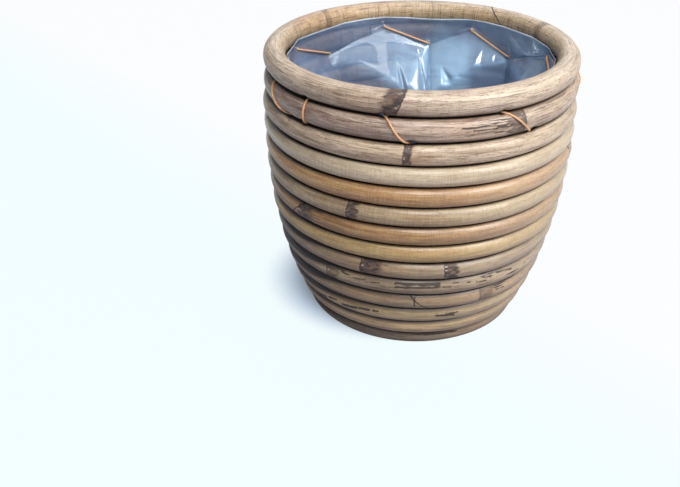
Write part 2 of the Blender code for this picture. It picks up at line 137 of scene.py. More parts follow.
class Wire:
    """One output socket of a node tree. Arithmetic on it adds Math nodes."""

    def __init__(self, tree, socket=None):
        self.tree = tree
        self.socket = socket

    def node(self, kind, links=None, output=0, **settings):
        """Add a node: set its options, then give its sockets values or links. Returns one output."""
        made = self.tree.nodes.new("ShaderNode" + kind)
        for name, value in settings.items():
            setattr(made, name, value)
        for key, value in (links or {}).items():
            plug(made.inputs[key], value)
        return Wire(self.tree, made.outputs[output])

    def math(self, operation, first, second=0.0):
        return self.node("Math", {0: first, 1: second}, operation=operation)

    def __add__(self, other):
        return self.math("ADD", self, other)

    def __radd__(self, other):
        return self.math("ADD", other, self)

    def __sub__(self, other):
        return self.math("SUBTRACT", self, other)

    def __rsub__(self, other):
        return self.math("SUBTRACT", other, self)

    def __mul__(self, other):
        return self.math("MULTIPLY", self, other)

    def __rmul__(self, other):
        return self.math("MULTIPLY", other, self)

    def __truediv__(self, other):
        return self.math("DIVIDE", self, other)

    def __abs__(self):
        return self.math("ABSOLUTE", self)

    def step(self, low, high):
        """0 below low, 1 above high, and a smooth rise between; low above high gives a fall."""
        links = {"Value": self, "From Min": low, "From Max": high}
        return self.node("MapRange", links, interpolation_type="SMOOTHSTEP")

    def mix(self, first, second):
        """A colour between two, with this wire as the share of the second."""
        return self.node("Mix", {0: self, 6: first, 7: second}, output=2, data_type="RGBA")

    def vector(self, operation, other, output=1):
        """Vector maths on this wire: output 1 gives a number and output 0 a vector."""
        return self.node("VectorMath", {0: self, 1: other}, output, operation=operation)

    def dot(self, way):
        """How far this vector goes in one direction."""
        return self.vector("DOT_PRODUCT", way)

    def noise(self, along, across, detail):
        """Cloudy values from about 0.25 to 0.75, by the cells a metre along a cane and across it."""
        scaled = self.vector("MULTIPLY", (along, across, across), output=0)
        return self.node("TexNoise", {"Vector": scaled, "Scale": 1.0, "Detail": detail})

    def field(self, name, output=2):
        """A named attribute of the mesh: output 2 gives a number and output 1 a vector."""
        return self.node("Attribute", output=output, attribute_name=name)

    def place(self):
        """Where a point of the surface lies, measured from the middle of the planter's foot."""
        return self.node("TexCoord", output=3)


def new_finish(name):
    """A node material with its Principled shader, and a wire to grow its graph from."""
    material = bpy.data.materials.new(name)
    material.use_nodes = True
    return material, material.node_tree.nodes["Principled BSDF"], Wire(material.node_tree)


def feed(shader, **sockets):
    """Plug wires or plain values into a shader's sockets, which are named in lower case."""
    named = {socket.name.lower().replace(" ", "_"): socket for socket in shader.inputs}
    for key, value in sockets.items():
        plug(named[key], value)


print("shader helper ready")

# %% [markdown]
# ## The stage
# The photograph is bright: the planter stands on white with only a faint, blue shadow. The lamps stay at a
# plain level, and the stage itself makes the white. For rays from the camera, also through the film, the
# floor turns white away from the planter and keeps its shadow near it. For all other rays it is a plain
# floor that bounces cool light at the undersides of the canes. Mirror rays see it white far from the
# planter, under a sky that is darker on the left.

# %% Floor
FLOOR_SIZE = 6.0
GLOW_COOL, GLOW_WHITE = (0.91, 1.0, 1.0), (1.0, 1.0, 1.0)
GLOW_NEAR, GLOW_FAR = 0.20, 0.97
GLOW_FROM, GLOW_TO = 0.042, 0.066
MIRROR_FROM, MIRROR_TO, MIRROR_SHARE = 0.070, 0.280, 0.9
SHADOW_SIDE = (-0.26, 0.15, 0.0)
WHITE_SIDE = (0.7, 0.7, 0.0)
WHITE_FROM, WHITE_TO = -0.06, 0.08
FLOOR_SHOWN = (0.15, 0.40, 1.0)
FLOOR_BOUNCE = (0.34, 0.34, 0.42)


def ray_kind(wire, name):
    """1 for rays of one kind, by the name that Blender gives it, and 0 for the others."""
    return wire.node("LightPath", output=name)


def stage_white(wire):
    """1 for rays that should see a white stage: those from the camera, also through the film."""
    return wire.math("MINIMUM", ray_kind(wire, "Is Camera Ray") + ray_kind(wire, "Is Transmission Ray"), 1.0)


def make_floor():
    """A flat pale floor that keeps the planter's shadow."""
    half = FLOOR_SIZE / 2
    mesh = bpy.data.meshes.new("stage_floor")
    corners = [(-half, -half, 0), (half, -half, 0), (half, half, 0), (-half, half, 0)]
    mesh.from_pydata(corners, [], [(0, 1, 2, 3)])
    floor = add_object("stage_floor", mesh)
    material, shader, wire = new_finish("stage_white")
    seen = stage_white(wire)
    feed(shader, base_color=seen.mix(FLOOR_BOUNCE, FLOOR_SHOWN), roughness=0.9)
    place = wire.place()
    white = place.dot(WHITE_SIDE).step(WHITE_FROM, WHITE_TO).mix(GLOW_COOL, GLOW_WHITE)
    glow = wire.node("Emission", {"Color": white, "Strength": 1.0})
    plain = Wire(wire.tree, shader.outputs[0])
    away = place.vector("LENGTH", (0, 0, 0)) - place.dot(SHADOW_SIDE)
    share = seen * (away.step(GLOW_FROM, GLOW_TO) * (GLOW_FAR - GLOW_NEAR) + GLOW_NEAR)
    share = share + away.step(MIRROR_FROM, MIRROR_TO) * ray_kind(wire, "Is Glossy Ray") * MIRROR_SHARE
    shown = wire.node("MixShader", {0: share, 1: plain, 2: glow})
    output = material.node_tree.nodes["Material Output"]
    material.node_tree.links.new(shown.socket, output.inputs["Surface"])
    mesh.materials.append(material)


make_floor()
print("floor, m:", FLOOR_SIZE)

# %% World and view
WORLD_LIGHT = (0.76, 0.86, 1.0)
WORLD_LIGHT_STRENGTH = 0.42
WORLD_LOW, WORLD_HIGH = 0.05, 0.90
WORLD_LEFT, WORLD_RIGHT, WORLD_DARK_SIDE = -0.7, 0.3, 0.45
MIRROR_LOW, MIRROR_HIGH, MIRROR_STRENGTH = -0.20, 0.60, 1.15


def make_world():
    """A white backdrop for the camera, and a weak cool light for the rest, from above and the right."""
    world = bpy.data.worlds.new("world")
    world.use_nodes = True
    bpy.context.scene.world = world
    tree = world.node_tree
    wire = Wire(tree)
    direction = wire.node("TexCoord", output=0)
    side = direction.dot((1, 0, 0)).step(WORLD_LEFT, WORLD_RIGHT)
    side = side * (1.0 - WORLD_DARK_SIDE) + WORLD_DARK_SIDE
    rise = direction.dot((0, 0, 1))
    lit = rise.step(WORLD_LOW, WORLD_HIGH) * WORLD_LIGHT_STRENGTH
    mirrored = rise.step(MIRROR_LOW, MIRROR_HIGH) * ray_kind(wire, "Is Glossy Ray") * MIRROR_STRENGTH
    strength = (lit + mirrored) * side
    soft = wire.node("Background", {"Color": WORLD_LIGHT, "Strength": strength})
    white = wire.node("Background", {"Color": GLOW_WHITE, "Strength": 1.0})
    shown = wire.node("MixShader", {0: stage_white(wire), 1: soft, 2: white})
    tree.links.new(shown.socket, tree.nodes["World Output"].inputs["Surface"])


make_world()
bpy.context.scene.view_settings.view_transform = "Standard"
print("world light:", WORLD_LIGHT_STRENGTH)

# %% [markdown]
# ## The light
# Three soft lamps do the work. The strongest stands to the right like a window, so that the planter falls
# off into a cool shade on its left. The key hangs high in front and draws the long highlights on the hoops.
# The weakest hangs overhead, towards the back, for the far rim and the glare on the film.

# %% Lamps


def make_lamp(name, place, target, size, power, colour):
    """A square soft lamp at a place, turned to a target."""
    data = bpy.data.lights.new(name, "AREA")
    data.shape = "SQUARE"
    data.size = size
    data.energy = power
    data.color = colour
    lamp = add_object(name, data)
    lamp.location = place
    lamp.rotation_euler = (Vector(target) - Vector(place)).to_track_quat("-Z", "Y").to_euler()


LAMP_TARGET = (0.0, 0.0, 0.08)
make_lamp("key", (0.10, -0.80, 1.00), LAMP_TARGET, 0.45, 7.5, (1.0, 0.985, 0.96))
make_lamp("window", (0.80, -0.50, 0.85), LAMP_TARGET, 0.60, 10.0, (1.0, 0.98, 0.95))
make_lamp("overhead", (0.0, 0.25, 1.10), LAMP_TARGET, 0.40, 3.0, (0.95, 0.98, 1.0))
print("lamps, W:", [lamp.energy for lamp in bpy.data.lights])

# %% [markdown]
# ## Surfaces from grids
# A tube, a bag and a thread are all one idea: a grid of points, whose rows run along the piece and whose
# columns run round it. These helpers turn such a grid into a mesh. The quads are index arithmetic on whole
# arrays, and a shade of detail that a material needs later is stored on the points as a named attribute.

# %% Mesh helpers
SHARP_FROM = math.radians(50)


def grid_quads(rows, columns):
    """Quads between neighbouring points of a grid that closes on itself across its columns."""
    row, column = np.meshgrid(np.arange(rows - 1) * columns, np.arange(columns), indexing="ij")
    after = (column + 1) % columns
    corners = [row + column, row + columns + column, row + columns + after, row + after]
    return np.stack(corners, axis=-1).reshape(-1, 4).tolist()


def tube_faces(rows, columns):
    """The quads of a tube and its two ends, each of them one face."""
    last = (rows - 1) * columns
    ends = [list(range(columns)), list(range(last + columns - 1, last - 1, -1))]
    return grid_quads(rows, columns) + ends


def add_piece(name, points, faces, attributes, material):
    """A smooth mesh object from points of shape (n, 3), faces and per-point attributes."""
    mesh = bpy.data.meshes.new(name)
    mesh.from_pydata(points.tolist(), [], faces)
    for key, values in attributes.items():
        kind, slot = ("FLOAT_VECTOR", "vector") if values.ndim == 2 else ("FLOAT", "value")
        made = mesh.attributes.new(key, kind, "POINT")
        made.data.foreach_set(slot, np.ascontiguousarray(values, np.float32).ravel())
    mesh.shade_smooth()
    mesh.set_sharp_from_angle(angle=SHARP_FROM)
    mesh.materials.append(material)
    piece = add_object(name, mesh)
    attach(piece, "root")
    return piece


def polar(radius, angle, height):
    """Points from arrays of radius, angle round the planter and height."""
    parts = np.broadcast_arrays(radius * np.cos(angle), radius * np.sin(angle), height)
    return np.stack(parts, axis=-1)


print("mesh helpers ready")

# %% [markdown]
# ## How a hoop differs from a torus
# A torus would be the quick way, and it looks like plastic. Cane is a plant stem: it wanders a little, it
# swells at its growth nodes, and its ends are cut on a slant and butted. So the hoop is a tube that starts
# and ends at its own slanted joint. It stores the distances to the nearest node and to the joint, from
# which the finish draws stains with crisp edges, however coarse the mesh is.

# %% What each hoop shows
# A node is (place in degrees round the planter, length of the stain beside it in mm, strength of the stain,
# slant in mm). A stain with a negative length lies on the other side. A scar is a stretch of torn skin:
# (from, to) in degrees round the planter, its middle and its half width in degrees round the cane, and its
# density.
HOOP_NODES = [
    [(-95.7, -9, 1, 2.3), (25, 6, 0.5, 0.5), (140, -5, 0.5, -0.5)],
    [(-52.5, -9, 0.8, 0.2), (60, 6, 0.5, -0.4), (175, 6, 0.6, 0.3)],
    [(-94, 3.6, 1, 0.2), (30, 5, 0.6, 0.5), (140, 5, 0.6, -0.3)],
    [(20, 6, 0.7, 0.4), (130, -6, 0.6, 0)],
    [(-16, 1.8, 1, 0.3), (-10, 1.8, 1, 0.3), (95, 7, 0.7, -0.4)],
    [(-113.5, 6, 1, 0.4), (0, 5, 0.6, 0), (140, 5, 0.7, 0.5)],
    [(-137, 11, 1, 0.6), (60, 6, 0.7, 0)],
    [(-8, 4, 0.5, 0), (85, -6, 0.8, 0.4)],
    [(-109.5, 11, 1, 0.3), (-77.5, 6.5, 1, -0.2), (110, 6, 0.8, 0)],
    [(-126, 7, 0.7, 0.2), (45, 5, 0.7, 0)],
    [(-60, 9, 0.6, 0.3), (140, -8, 0.8, 0)],
    [(-4, 5, 0.6, 0), (20, 8, 0.7, 0.4)],
    [(5, 5, 0.6, 0), (150, 7, 0.7, 0.3)],
    [(-20, 6, 0.6, 0), (60, 9, 0.8, 0)],
]
HOOP_SCARS = {
    "hoop_02": [(-78, -58, 5, 40, 0.5), (150, 170, 10, 40, 0.5)],
    "hoop_03": [(100, 118, 0, 35, 0.4)],
    "hoop_06": [(70, 82, 20, 30, 0.4)],
    "hoop_07": [(-134, -126, 20, 40, 0.6)],
    "hoop_09": [(-108, -98, 45, 25, 0.6)],
    "hoop_10": [(-70, -42, 14, 34, 0.4), (60, 100, 5, 40, 0.7)],
    "hoop_11": [(-52, -40, 40, 30, 0.7), (30, 44, 10, 30, 0.5)],
    "hoop_12": [(-142, -100, -22, 16, 0.3), (120, 165, -10, 26, 0.7)],
    "hoop_13": [(-30, -10, 10, 30, 0.4)],
    "hoop_14": [(-96, -60, 34, 14, 0.4), (-140, -112, 25, 20, 0.5), (70, 110, 10, 30, 0.7)],
}
# A crack is a split in the skin: (from, to) in degrees round the planter, where it starts and ends in
# degrees round the cane, and half its width in mm. The two on the rim are the dots of nails.
HOOP_CRACKS = {
    "hoop_01": [(25.9, 27.1, 64, 64, 0.45), (9.6, 10.9, 49, 49, 0.45)],
    "hoop_02": [
        (-76, -70, 24, 22, 0.25), (-72, -63, 6, 4, 0.3), (-66, -59, 34, 30, 0.3), (-64, -57, 14, 10, 0.35),
    ],
    "hoop_06": [(-83, -80.5, 54, 38, 0.25)],
    "hoop_09": [(-109, -101, 48, 46, 0.35), (55, 66, 10, 12, 0.35)],
    "hoop_10": [
        (-122, -117, 42, 38, 0.3), (-118.5, -114.6, 28, 20, 0.4), (-113.7, -108, 17, 20, 0.3),
        (-107, -101.9, 14, 18, 0.3), (-96.2, -78.4, 28, 32, 0.6), (-96, -78.8, 7, 11, 0.55),
        (-77.8, -74, 10, 6, 0.4), (-73.8, -70.5, 29, 26, 0.35), (-68, -66, 18, 18, 0.3),
        (-64, -59, 8, 6, 0.35), (-61.7, -56.4, 35, 20, 0.4), (-60, -52.2, 50, 30, 0.35),
        (-52, -45.7, 34, 23, 0.4), (62, 84, 15, 10, 0.4), (70, 98, -4, 2, 0.35),
    ],
    "hoop_11": [(-88.5, -87.8, 8, 8, 3.4), (-52, -47, 10, 12, 0.35)],
    "hoop_12": [
        (-139, -131, -38, -20, 0.7), (-130, -124.6, -8, -1, 0.6), (-122, -113.8, -18, -2, 0.8),
        (-113, -107.5, 0, 5, 0.7), (-106.5, -103.5, 7, 8, 0.55), (-78.8, -69.7, 3, -8, 0.6),
        (-74, -68, 12, 8, 0.35), (128, 150, -8, 0, 0.45), (140, 158, 8, 4, 0.4),
    ],
    "hoop_14": [
        (-130, -118, 30, 34, 0.3), (-110, -98, 40, 36, 0.3), (-94.5, -64, 35, 16, 0.6),
        (-89, -73.5, 24, 17, 0.5), (74, 106, 20, 14, 0.4),
    ],
}
SCARF_PLACES = [54, 110, 5, -167, -12, 75, -138, 130, 40, 155, -85, 96, 28, 120]
SCARF_TURNS = [121, 30, 0, 70, 60, 0, 80, 20, 90, 0, -70, 40, 0, 90]
SCARF_SLOPE = math.radians(40)
SCARF_GAP = 0.40 * MM
print("nodes on the hoops:", sum(len(nodes) for nodes in HOOP_NODES))

# %% [markdown]
# The cane's middle line wanders by slow waves, and so does its thickness. Each hoop draws its own phases
# from one seeded generator, so the planter comes out the same on every run. The frame leaves a hair's gap
# between the hoops; real hoops touch, so each cane is a little thicker towards its neighbours.

# %% Waves and steps on arrays
random = np.random.default_rng(14)


def slow_wave(angle, cycles):
    """A sum of sines round the hoop with random phases, between about -1 and 1."""
    phases = random.uniform(0, math.tau, len(cycles))
    weights = random.uniform(0.4, 1.0, len(cycles)) / len(cycles) ** 0.5
    return sum(w * np.sin(k * angle + p) for k, p, w in zip(cycles, phases, weights))


def turn_between(angle, place):
    """The shortest signed turn from a place, in degrees, to an angle, in radians."""
    return (angle - np.radians(place) + math.pi) % math.tau - math.pi


def smoothstep(low, high, value):
    """0 below low, 1 above high and a smooth rise between, on arrays; low above high gives a fall."""
    share = np.clip((value - low) / (high - low), 0, 1)
    return share * share * (3 - 2 * share)


def wall_turn(index):
    """The angle round the cane at which a hoop meets the one above it, from the wall's lean."""
    above, below = max(index - 1, 0), min(index + 1, len(HOOP_SIZES) - 1)
    return math.atan2(HOOP_HEIGHTS[above] - HOOP_HEIGHTS[below], HOOP_RADII[above] - HOOP_RADII[below])


print("the foot hoop meets its neighbour at", round(math.degrees(wall_turn(13)), 1), "degrees")

# %% The thread's stitches
# Where the thread goes in above and below the second hoop, in degrees round the planter.
STITCH_TOPS = np.radians([-132.3, -101.4, -60.6, 0.0, 14.0, 65.4, 108.2, 163.9, 203.0])
STITCH_FEET = np.radians([-132.8, -91.8, -46.8, -5.0, 44.6, 85.9, 138.6, 185.0, 218.5])
UPPER_GAP = (HOOP_HEIGHTS[0] - HOOP_CANES[0] + HOOP_HEIGHTS[1] + HOOP_CANES[1]) / 2
LOWER_GAP = (HOOP_HEIGHTS[1] - HOOP_CANES[1] + HOOP_HEIGHTS[2] + HOOP_CANES[2]) / 2
print("thread gaps at, mm:", round(UPPER_GAP / MM, 2), round(LOWER_GAP / MM, 2))

# %% Fields along one hoop


def node_fields(index, angle, around):
    """Signed distance to the nearest node ring, and the strength and the length of the stain there."""
    radius = HOOP_RADII[index]
    knot, stain, reach = np.ones_like(angle), np.zeros_like(angle), np.full_like(angle, MM)
    for place, extent, strength, slant in HOOP_NODES[index]:
        away = turn_between(angle, place) * radius - slant * MM * np.sin(around)
        nearer = np.abs(away) < np.abs(knot)
        knot = np.where(nearer, away * np.sign(extent), knot)
        fade = smoothstep(1.5 * abs(extent) * MM + 6 * MM, 1.3 * abs(extent) * MM + 2 * MM, np.abs(away))
        stain = np.where(nearer, strength * fade, stain)
        reach = np.where(nearer, abs(extent) * MM, reach)
    return knot, stain, reach


def scar_field(index, angle, around):
    """1 in the middle of a dense scar, falling to 0 outside all of them."""
    scar = np.zeros_like(angle)
    for start, end, middle, half_width, density in HOOP_SCARS.get(HOOP_NAMES[index], []):
        past_end = np.abs(turn_between(angle, (start + end) / 2)) - math.radians(end - start) / 2
        past_side = np.abs(turn_between(around, middle)) - math.radians(half_width)
        zone = smoothstep(0.03, -0.02, past_end) * smoothstep(0.20, -0.20, past_side)
        scar = np.maximum(scar, density * zone)
    return scar


def crack_field(index, angle, around):
    """Distance to the edge of the nearest crack, below 0 inside: the larger of the ways along and across."""
    radius, _, cane = HOOP_SIZES[index]
    crack = np.full_like(angle, 2 * MM)
    for start, end, first, last, half_width in HOOP_CRACKS.get(HOOP_NAMES[index], []):
        from_middle = turn_between(angle, (start + end) / 2)
        half = math.radians(end - start) / 2
        level = (first + last) / 2 + (last - first) / 2 * np.clip(from_middle / half, -1, 1)
        across = np.abs(turn_between(around, level)) * cane - half_width * MM
        way = np.maximum((np.abs(from_middle) - half) * radius, across)
        crack = np.minimum(crack, way)
    return crack


print("fields: node, stain, scar, crack")

# %% Where canes meet
HUG = 0.23 * MM
WIDE_HUG = 0.80 * MM
STITCH_ROOM = 1.8 * MM
# Painted shade between canes: how fast it fades on top of a cane, upright and leaning, how much wider it is
# on the left, away from the light, and how much fainter on the right.
SHADE_WASH_UPRIGHT, SHADE_WASH_LEANING = 2.4, 0.9
SHADE_WIDER_LEFT, SHADE_FAINTER_RIGHT = 0.6, 0.07
# How much darker a few lower hoops are on their left.
DARKER_LEFT_SHARE = {"hoop_09": 0.14, "hoop_10": 0.26, "hoop_11": 0.22, "hoop_12": 0.12}


def crevice_field(index, around):
    """1 where a cane meets its neighbour above or below, falling to 0 at its outer and inner sides."""
    facing = np.cos(around - wall_turn(index))
    above = np.maximum(facing, 0) if index > 0 else 0.0
    below = np.maximum(-facing, 0) if index < len(HOOP_SIZES) - 1 else 0.0
    return above + below


def painted_shade_field(index, angle, around):
    """The painted shade between two canes: as the crevice below a cane, but narrower on top of one.

    It is widest where the wall leans and on the left, away from the light, and fainter on the right.
    A few lower hoops are darker still on the left."""
    crevice = crevice_field(index, around)
    leaning = smoothstep(0.0, 20.0, 90.0 - math.degrees(wall_turn(index)))
    wash = SHADE_WASH_UPRIGHT + (SHADE_WASH_LEANING - SHADE_WASH_UPRIGHT) * leaning
    wash = wash * (1 - SHADE_WIDER_LEFT * smoothstep(0.2, 0.9, -np.cos(angle)))
    painted_shade = np.where(np.sin(around) > 0, np.maximum(1 - wash * (1 - crevice), 0), crevice)
    darker_left = DARKER_LEFT_SHARE.get(HOOP_NAMES[index], 0.0) * smoothstep(0.45, 0.85, -np.cos(angle))
    return painted_shade + darker_left - SHADE_FAINTER_RIGHT * smoothstep(0.3, 0.9, np.cos(angle))


def hug_field(index, angle, around):
    """How much thicker a cane is towards its neighbours. The top two gaps are wider, for the thread, and each
    closes between the places where the thread passes through it."""
    on_top = np.sin(around) > 0
    hug = np.full(around.shape, HUG)
    for gap, places in enumerate([STITCH_TOPS, STITCH_FEET]):
        away = np.min([np.abs(turn_between(angle, place)) for place in np.degrees(places)], axis=0)
        closed = WIDE_HUG * (1 - np.exp(-((away * HOOP_RADII[1] / STITCH_ROOM) ** 2)))
        meets = on_top if index == gap + 1 else ~on_top & (index == gap)
        hug = np.where(meets, closed, hug)
    return hug


print("top gaps close by, mm:", WIDE_HUG / MM, "and the others by:", HUG / MM)

# %% The hoop surface
ALONG, AROUND = 480, 44
WANDER_OUT, WANDER_UP, WANDER_THICK = 0.22 * MM, 0.05 * MM, 0.05 * MM
NODE_RIDGE, NODE_RIDGE_WIDTH = 0.20 * MM, 1.3 * MM
SCAR_DEPTH = 0.12 * MM
LEAN_FADE = 12


def hoop_grid(index):
    """Points of one hoop and the fields that its finish reads.

    A row is a ring round the cane and a column a line along it. The cane runs once round the planter from
    its slanted joint back to it: the rows lean with the joint near the ends and stand square elsewhere. A
    point is the middle line's point plus the cane's radius times (cos, sin) of the turn round the cane."""
    radius, height, cane = HOOP_SIZES[index]
    length = math.tau * radius
    share = np.linspace(0, 1, ALONG)[:, None]
    around = np.linspace(0, math.tau, AROUND, endpoint=False)[None, :]
    lean = -cane * np.cos(around + math.radians(SCARF_TURNS[index])) / math.tan(SCARF_SLOPE)
    run = SCARF_GAP / 2 + share * (length - SCARF_GAP) + lean * np.abs(1 - 2 * share) ** LEAN_FADE
    angle = math.radians(SCARF_PLACES[index]) + run / radius
    around = np.broadcast_to(around, run.shape)

    knot, stain, reach = node_fields(index, angle, around)
    scar = scar_field(index, angle, around)
    crevice = crevice_field(index, around)
    hug = hug_field(index, angle, around) * crevice**2
    ridge = NODE_RIDGE * stain * np.exp(-((knot / NODE_RIDGE_WIDTH) ** 2)) * (1 - crevice**2)
    thick = cane + hug + ridge - SCAR_DEPTH * scar
    thick = thick + WANDER_THICK * slow_wave(angle, (3, 5, 9)) * (1 - crevice**2)
    middle_radius = radius + WANDER_OUT * slow_wave(angle, (2, 3, 5))
    middle_height = height + WANDER_UP * slow_wave(angle, (2, 3, 4))
    up = middle_height + thick * np.sin(around)
    points = polar(middle_radius + thick * np.cos(around), angle, np.maximum(up, 0.0))
    cane_way = np.stack([run + index, cane * np.cos(around), cane * np.sin(around)], axis=-1)
    # The fields hold the distances for the marks, and the painted shade between canes.
    marks = {
        "seam": np.minimum(np.abs(run - lean), np.abs(run - lean - length)),
        "knot": knot, "stain": stain, "reach": reach, "scar": scar,
        "crack": crack_field(index, angle, around),
        "painted_shade": painted_shade_field(index, angle, around),
    }
    fields = {"cane": cane_way.reshape(-1, 3)} | {name: mark.ravel() for name, mark in marks.items()}
    return points.reshape(-1, 3), fields


print("hoop grid:", ALONG, "x", AROUND)

# %% [markdown]
# ## The cane finish
# Cane is a grass-like stem with a hard glazed skin. Its fibres run lengthwise, so all its streaks are noise
# that is stretched along the cane. Across it run fine rings, and wrinkles where the inside of the bend was
# squeezed. A node shows as a dark ring with a ragged brown stain on the side where a leaf sat, and a pale
# lip on the other. Shade is painted where two canes meet, and the side towards the light is painted paler.
# Painted as pictures these marks would blur in close-ups; as functions of the distances stored on the mesh
# they stay crisp.

# %% What the canes look like


class Look(NamedTuple):
    """One cane's skin: its light and its dark colour, and how strong its marks are, from 0 to 1."""

    pale: tuple
    deep: tuple
    streaks: float
    rings: float
    scratches: float
    gloss: float


HOOP_LOOKS = [
    Look((0.72, 0.58, 0.44), (0.38, 0.27, 0.19), 0.65, 0.5, 0.9, 0.15),
    Look((0.66, 0.51, 0.4), (0.28, 0.185, 0.14), 0.85, 0.3, 1, 0.2),
    Look((0.75, 0.59, 0.42), (0.4, 0.28, 0.19), 0.65, 0.4, 0.8, 0.25),
    Look((0.69, 0.57, 0.4), (0.46, 0.34, 0.21), 0.45, 0.8, 0.3, 0.6),
    Look((0.56, 0.34, 0.15), (0.31, 0.14, 0.045), 0.65, 0.8, 0.4, 0.6),
    Look((0.52, 0.39, 0.23), (0.3, 0.2, 0.11), 0.55, 1, 0.3, 0.5),
    Look((0.48, 0.275, 0.11), (0.24, 0.115, 0.04), 0.65, 0.6, 0.4, 0.6),
    Look((0.56, 0.39, 0.17), (0.34, 0.21, 0.08), 0.55, 0.8, 0.3, 0.5),
    Look((0.42, 0.31, 0.19), (0.22, 0.155, 0.1), 0.65, 0.5, 0.4, 0.4),
    Look((0.47, 0.35, 0.21), (0.22, 0.155, 0.1), 0.7, 0.3, 0.6, 0.4),
    Look((0.41, 0.3, 0.185), (0.21, 0.145, 0.09), 0.65, 0.3, 0.5, 0.4),
    Look((0.55, 0.415, 0.23), (0.29, 0.2, 0.105), 0.55, 0.4, 0.4, 0.45),
    Look((0.62, 0.45, 0.25), (0.33, 0.225, 0.12), 0.55, 0.3, 0.3, 0.5),
    Look((0.31, 0.235, 0.16), (0.13, 0.095, 0.07), 0.65, 0.25, 0.4, 0.25),
]
print("looks:", len(HOOP_LOOKS))

# %% The cane's own colour
INNER_GOLD = (0.62, 0.44, 0.25)
SUN_ORANGE = (0.50, 0.27, 0.11)
# The paler colour painted on the lit right side of the canes, and the way that it grows.
PAINTED_LIGHT_PALE = (0.74, 0.61, 0.46)
PAINTED_LIGHT_SIDE = (1.0, -0.2, 0.0)
RING_PITCH = 1.4 * MM


def cane_noises(wire):
    """Cloudy values along a cane, from broad streaks to fine rings, and 1 on the inside of its bend."""
    cane = wire.field("cane", output=1)
    run, outward = cane.dot((1, 0, 0)), cane.dot((0, 1, 0))
    jitter = cane.noise(160, 90, 2)
    ring = wire.math("SINE", run * (math.tau / RING_PITCH) + jitter * 40.0) * 0.10
    return SimpleNamespace(
        cane=cane,
        fibre=cane.noise(60, 1700, 3),
        streak=cane.noise(14, 380, 3),
        cloud=cane.noise(45, 100, 2),
        grain=cane.noise(120, 900, 3),
        mottle=cane.noise(330, 800, 3),
        ring=ring + cane.noise(1300, 60, 2) * 0.6 + jitter * 0.4,
        inner=outward.step(-1.0 * MM, -4.0 * MM),
    )


def skin_colour(wire, look, skin):
    """Pale to deep by streaks, fibres and rings, tanned in places, painted paler on the lit right, golden
    inside.
    """
    depth = skin.streak.step(0.36, 0.66) * look.streaks + skin.cloud.step(0.35, 0.68) * 0.35
    depth = depth + (skin.fibre - 0.5) * 1.5 + (skin.grain - 0.5) * 1.5
    depth = depth + (skin.ring - 0.5) * (look.rings * 1.5 + skin.inner)
    tanned = skin.cane.noise(14, 40, 1).step(0.50, 0.68) * (skin.inner * 0.3 + 0.35)
    colour = tanned.mix(depth.mix(look.pale, look.deep), SUN_ORANGE)
    # Painted light: the right side, towards the window lamp, is made paler.
    painted_light = wire.place().dot(PAINTED_LIGHT_SIDE).step(0.010, 0.085) * 0.40
    return (skin.inner * 0.6).mix(painted_light.mix(colour, PAINTED_LIGHT_PALE), INNER_GOLD)


print("rings a cm:", round(10 * MM / RING_PITCH, 1))

# %% The marks on a cane


def node_marks(wire, skin):
    """A node's ragged stain, its dark ring, and the pale tufts of its lip."""
    knot, stain = wire.field("knot"), wire.field("stain")
    ragged = (skin.streak - 0.5) * 1.3 + (skin.fibre - 0.5) * 0.5
    inside = (knot + (skin.mottle - 0.5) * (1.2 * MM)).step(-0.10 * MM, 0.25 * MM)
    patch = inside * (knot / wire.field("reach") + ragged).step(1.05, 0.75) * stain
    line = abs(knot + (skin.mottle - 0.5) * (1.6 * MM)).step(0.55 * MM, 0.15 * MM) * stain
    tuft = skin.mottle.step(0.60, 0.66) * abs(knot - 0.7 * MM).step(1.8 * MM, 0.6 * MM) * stain
    return patch, line, tuft


def wear_marks(wire, look, skin):
    """Torn or split skin, scratches, specks, pale scuffs, and wrinkles on the inside of the bend."""
    scar = wire.field("scar")
    torn = (skin.cane.noise(60, 1000, 2) + scar * 0.2).step(0.66, 0.71) * scar.step(0.02, 0.2)
    split = (wire.field("crack") + (skin.mottle - 0.5) * (1.1 * MM)).step(0.15 * MM, -0.10 * MM)
    scratch = skin.cane.noise(80, 2000, 2).step(0.55, 0.64) * look.scratches
    speck = skin.cane.noise(420, 2500, 2).step(0.59, 0.66) * (look.scratches * 0.7 + 0.2)
    scuff = skin.cane.noise(130, 1500, 2).step(0.59, 0.68) * look.scratches
    wrinkle = skin.cane.noise(1500, 110, 2).step(0.50, 0.66) * skin.inner
    return wire.math("MAXIMUM", torn, split), scratch, speck, scuff, wrinkle


print("marks: nodes, scars, cracks and wear")

# %% Cane finish
STAIN_DARK = (0.032, 0.021, 0.018)
STAIN_BROWN = (0.120, 0.062, 0.042)
SCUFF_PALE = (0.74, 0.64, 0.55)
# The colour of the painted shade between canes, and of the dark lines: node rings, joints and the deepest
# painted shade.
CREVICE_SHADE_BROWN = (0.100, 0.058, 0.034)
DARK_LINE_AND_SHADE = (0.022, 0.013, 0.010)
TUFT_PALE = (0.80, 0.76, 0.70)


